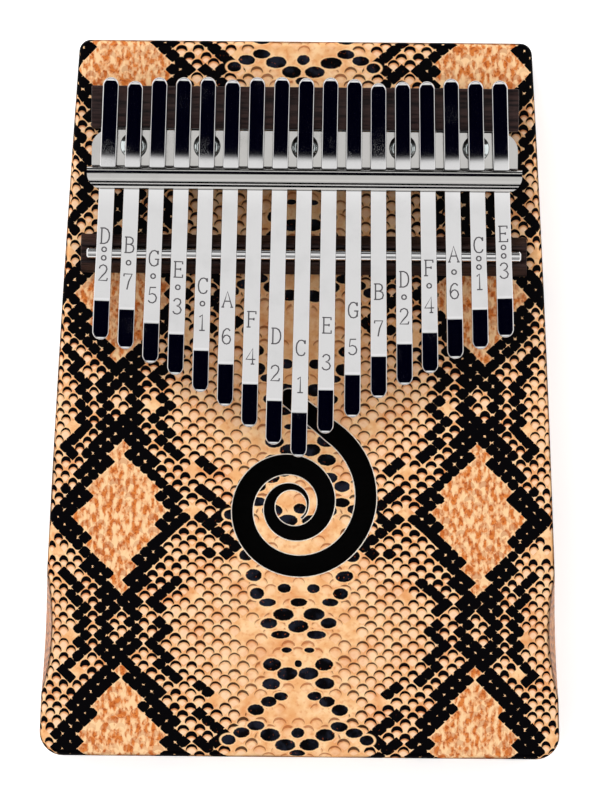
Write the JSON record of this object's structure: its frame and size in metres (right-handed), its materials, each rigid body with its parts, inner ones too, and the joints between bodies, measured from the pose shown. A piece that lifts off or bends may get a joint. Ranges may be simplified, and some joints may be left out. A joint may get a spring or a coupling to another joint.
{
  "type": "mbira thumb piano",
  "caption": "Hand-held thumb piano: flexible steel tines clamped over two bridges on a hollow tapered wooden box with a spiral sound hole and reptile-scale lacquer.",
  "frame": {"origin": "centre of the box's flat back face", "axes": "+Y towards the head of the box, where the tines are clamped; +X to the player's right as the front is seen; +Z out of the front board"},
  "size_m": [0.1344, 0.185, 0.043],
  "materials": {
    "print_lacquer": "gloss lacquer over a reptile-scale print",
    "bare_wood": "unfinished pale wood",
    "dark_wood": "oiled dark hardwood",
    "polished_steel": "polished spring steel",
    "plated_sheet": "plated bent sheet",
    "plated_fastener": "plated steel"
  },
  "bodies": {
    "box": {"front_board": "print_lacquer", "back_board": "print_lacquer", "left_rail": "print_lacquer", "right_rail": "print_lacquer", "head_block": "print_lacquer", "tail_block": "print_lacquer", "screw_brace": "bare_wood", "back_ridge": "dark_wood", "lower_bridge": "dark_wood", "saddle_rod": "polished_steel", "tine_bracket": "plated_sheet", "bracket_screw_1": "plated_fastener", "bracket_screw_2": "plated_fastener", "bracket_screw_3": "plated_fastener", "bracket_screw_4": "plated_fastener", "bracket_screw_5": "plated_fastener"},
    "d6_root": {"tine_d6_root": "polished_steel"},
    "d6_tongue": {"tine_d6_tongue": "polished_steel"},
    "b5_root": {"tine_b5_root": "polished_steel"},
    "b5_tongue": {"tine_b5_tongue": "polished_steel"},
    "g5_root": {"tine_g5_root": "polished_steel"},
    "g5_tongue": {"tine_g5_tongue": "polished_steel"},
    "e5_root": {"tine_e5_root": "polished_steel"},
    "e5_tongue": {"tine_e5_tongue": "polished_steel"},
    "c5_root": {"tine_c5_root": "polished_steel"},
    "c5_tongue": {"tine_c5_tongue": "polished_steel"},
    "a4_root": {"tine_a4_root": "polished_steel"},
    "a4_tongue": {"tine_a4_tongue": "polished_steel"},
    "f4_root": {"tine_f4_root": "polished_steel"},
    "f4_tongue": {"tine_f4_tongue": "polished_steel"},
    "d4_root": {"tine_d4_root": "polished_steel"},
    "d4_tongue": {"tine_d4_tongue": "polished_steel"},
    "c4_root": {"tine_c4_root": "polished_steel"},
    "c4_tongue": {"tine_c4_tongue": "polished_steel"},
    "e4_root": {"tine_e4_root": "polished_steel"},
    "e4_tongue": {"tine_e4_tongue": "polished_steel"},
    "g4_root": {"tine_g4_root": "polished_steel"},
    "g4_tongue": {"tine_g4_tongue": "polished_steel"},
    "b4_root": {"tine_b4_root": "polished_steel"},
    "b4_tongue": {"tine_b4_tongue": "polished_steel"},
    "d5_root": {"tine_d5_root": "polished_steel"},
    "d5_tongue": {"tine_d5_tongue": "polished_steel"},
    "f5_root": {"tine_f5_root": "polished_steel"},
    "f5_tongue": {"tine_f5_tongue": "polished_steel"},
    "a5_root": {"tine_a5_root": "polished_steel"},
    "a5_tongue": {"tine_a5_tongue": "polished_steel"},
    "c6_root": {"tine_c6_root": "polished_steel"},
    "c6_tongue": {"tine_c6_tongue": "polished_steel"},
    "e6_root": {"tine_e6_root": "polished_steel"},
    "e6_tongue": {"tine_e6_tongue": "polished_steel"}
  },
  "joints": [
    {"name": "tune_d6", "type": "slide", "parent": "box", "child": "d6_root", "axis": [0.0349, 0.9994, 0], "range_m": [-0.001, 0.001]},
    {"name": "pluck_d6", "type": "hinge", "parent": "d6_root", "child": "d6_tongue", "pos_m": [-0.05156, 0.03395, 0.0381], "axis": [0.9994, -0.0349, 0], "range_deg": [-0.75, 0.75], "stiffness_Nm_per_rad": 7.302},
    {"name": "tune_b5", "type": "slide", "parent": "box", "child": "b5_root", "axis": [0.0305, 0.9995, 0], "range_m": [-0.001, 0.001]},
    {"name": "pluck_b5", "type": "hinge", "parent": "b5_root", "child": "b5_tongue", "pos_m": [-0.04512, 0.03358, 0.03813], "axis": [0.9995, -0.0305, 0], "range_deg": [-0.92, 0.92], "stiffness_Nm_per_rad": 6.592},
    {"name": "tune_g5", "type": "slide", "parent": "box", "child": "g5_root", "axis": [0.0262, 0.9997, 0], "range_m": [-0.001, 0.001]},
    {"name": "pluck_g5", "type": "hinge", "parent": "g5_root", "child": "g5_tongue", "pos_m": [-0.03869, 0.03305, 0.03818], "axis": [0.9997, -0.0262, 0], "range_deg": [-1.2, 1.2], "stiffness_Nm_per_rad": 5.766},
    {"name": "tune_e5", "type": "slide", "parent": "box", "child": "e5_root", "axis": [0.0221, 0.9998, 0], "range_m": [-0.001, 0.001]},
    {"name": "pluck_e5", "type": "hinge", "parent": "e5_root", "child": "e5_tongue", "pos_m": [-0.03226, 0.03261, 0.03821], "axis": [0.9998, -0.0221, 0], "range_deg": [-1.46, 1.46], "stiffness_Nm_per_rad": 5.222},
    {"name": "tune_c5", "type": "slide", "parent": "box", "child": "c5_root", "axis": [0.0185, 0.9998, 0], "range_m": [-0.001, 0.001]},
    {"name": "pluck_c5", "type": "hinge", "parent": "c5_root", "child": "c5_tongue", "pos_m": [-0.02584, 0.03196, 0.03827], "axis": [0.9998, -0.0185, 0], "range_deg": [-1.89, 1.89], "stiffness_Nm_per_rad": 4.585},
    {"name": "tune_a4", "type": "slide", "parent": "box", "child": "a4_root", "axis": [0.0162, 0.9999, 0], "range_m": [-0.001, 0.001]},
    {"name": "pluck_a4", "type": "hinge", "parent": "a4_root", "child": "a4_tongue", "pos_m": [-0.01945, 0.03141, 0.03831], "axis": [0.9999, -0.0162, 0], "range_deg": [-2.3, 2.3], "stiffness_Nm_per_rad": 4.163},
    {"name": "tune_f4", "type": "slide", "parent": "box", "child": "f4_root", "axis": [0.0156, 0.9999, 0], "range_m": [-0.001, 0.001]},
    {"name": "pluck_f4", "type": "hinge", "parent": "f4_root", "child": "f4_tongue", "pos_m": [-0.0131, 0.03062, 0.03838], "axis": [0.9999, -0.0156, 0], "range_deg": [-2.96, 2.96], "stiffness_Nm_per_rad": 3.666},
    {"name": "tune_d4", "type": "slide", "parent": "box", "child": "d4_root", "axis": [0.0155, 0.9999, 0], "range_m": [-0.001, 0.001]},
    {"name": "pluck_d4", "type": "hinge", "parent": "d4_root", "child": "d4_tongue", "pos_m": [-0.00676, 0.02995, 0.03843], "axis": [0.9999, -0.0155, 0], "range_deg": [-3.58, 3.58], "stiffness_Nm_per_rad": 3.335},
    {"name": "tune_c4", "type": "slide", "parent": "box", "child": "c4_root", "axis": [0.0131, 0.9999, 0], "range_m": [-0.001, 0.001]},
    {"name": "pluck_c4", "type": "hinge", "parent": "c4_root", "child": "c4_tongue", "pos_m": [-0.00036, 0.02948, 0.03848], "axis": [0.9999, -0.0131, 0], "range_deg": [-4.05, 4.05], "stiffness_Nm_per_rad": 3.133},
    {"name": "tune_e4", "type": "slide", "parent": "box", "child": "e4_root", "axis": [0.0068, 1, 0], "range_m": [-0.001, 0.001]},
    {"name": "pluck_e4", "type": "hinge", "parent": "e4_root", "child": "e4_tongue", "pos_m": [0.00617, 0.0304, 0.0384], "axis": [1, -0.0068, 0], "range_deg": [-3.15, 3.15], "stiffness_Nm_per_rad": 3.552},
    {"name": "tune_g4", "type": "slide", "parent": "box", "child": "g4_root", "axis": [-0.0018, 1, 0], "range_m": [-0.001, 0.001]},
    {"name": "pluck_g4", "type": "hinge", "parent": "g4_root", "child": "g4_tongue", "pos_m": [0.01274, 0.03103, 0.03834], "axis": [1, 0.0018, 0], "range_deg": [-2.61, 2.61], "stiffness_Nm_per_rad": 3.906},
    {"name": "tune_b4", "type": "slide", "parent": "box", "child": "b4_root", "axis": [-0.01, 1, 0], "range_m": [-0.001, 0.001]},
    {"name": "pluck_b4", "type": "hinge", "parent": "b4_root", "child": "b4_tongue", "pos_m": [0.01929, 0.03178, 0.03828], "axis": [1, 0.01, 0], "range_deg": [-2.02, 2.02], "stiffness_Nm_per_rad": 4.439},
    {"name": "tune_d5", "type": "slide", "parent": "box", "child": "d5_root", "axis": [-0.0164, 0.9999, 0], "range_m": [-0.001, 0.001]},
    {"name": "pluck_d5", "type": "hinge", "parent": "d5_root", "child": "d5_tongue", "pos_m": [0.02578, 0.03229, 0.03824], "axis": [0.9999, 0.0164, 0], "range_deg": [-1.66, 1.66], "stiffness_Nm_per_rad": 4.892},
    {"name": "tune_f5", "type": "slide", "parent": "box", "child": "f5_root", "axis": [-0.0216, 0.9998, 0], "range_m": [-0.001, 0.001]},
    {"name": "pluck_f5", "type": "hinge", "parent": "f5_root", "child": "f5_tongue", "pos_m": [0.03224, 0.03276, 0.0382], "axis": [0.9998, 0.0216, 0], "range_deg": [-1.37, 1.37], "stiffness_Nm_per_rad": 5.397},
    {"name": "tune_a5", "type": "slide", "parent": "box", "child": "a5_root", "axis": [-0.0261, 0.9997, 0], "range_m": [-0.001, 0.001]},
    {"name": "pluck_a5", "type": "hinge", "parent": "a5_root", "child": "a5_tongue", "pos_m": [0.03868, 0.03333, 0.03815], "axis": [0.9997, 0.0261, 0], "range_deg": [-1.05, 1.05], "stiffness_Nm_per_rad": 6.163},
    {"name": "tune_c6", "type": "slide", "parent": "box", "child": "c6_root", "axis": [-0.0305, 0.9995, 0], "range_m": [-0.001, 0.001]},
    {"name": "pluck_c6", "type": "hinge", "parent": "c6_root", "child": "c6_tongue", "pos_m": [0.04512, 0.03371, 0.03812], "axis": [0.9995, 0.0305, 0], "range_deg": [-0.86, 0.86], "stiffness_Nm_per_rad": 6.82},
    {"name": "tune_e6", "type": "slide", "parent": "box", "child": "e6_root", "axis": [-0.0349, 0.9994, 0], "range_m": [-0.001, 0.001]},
    {"name": "pluck_e6", "type": "hinge", "parent": "e6_root", "child": "e6_tongue", "pos_m": [0.05155, 0.03417, 0.03808], "axis": [0.9994, 0.0349, 0], "range_deg": [-0.65, 0.65], "stiffness_Nm_per_rad": 7.825}
  ]
}
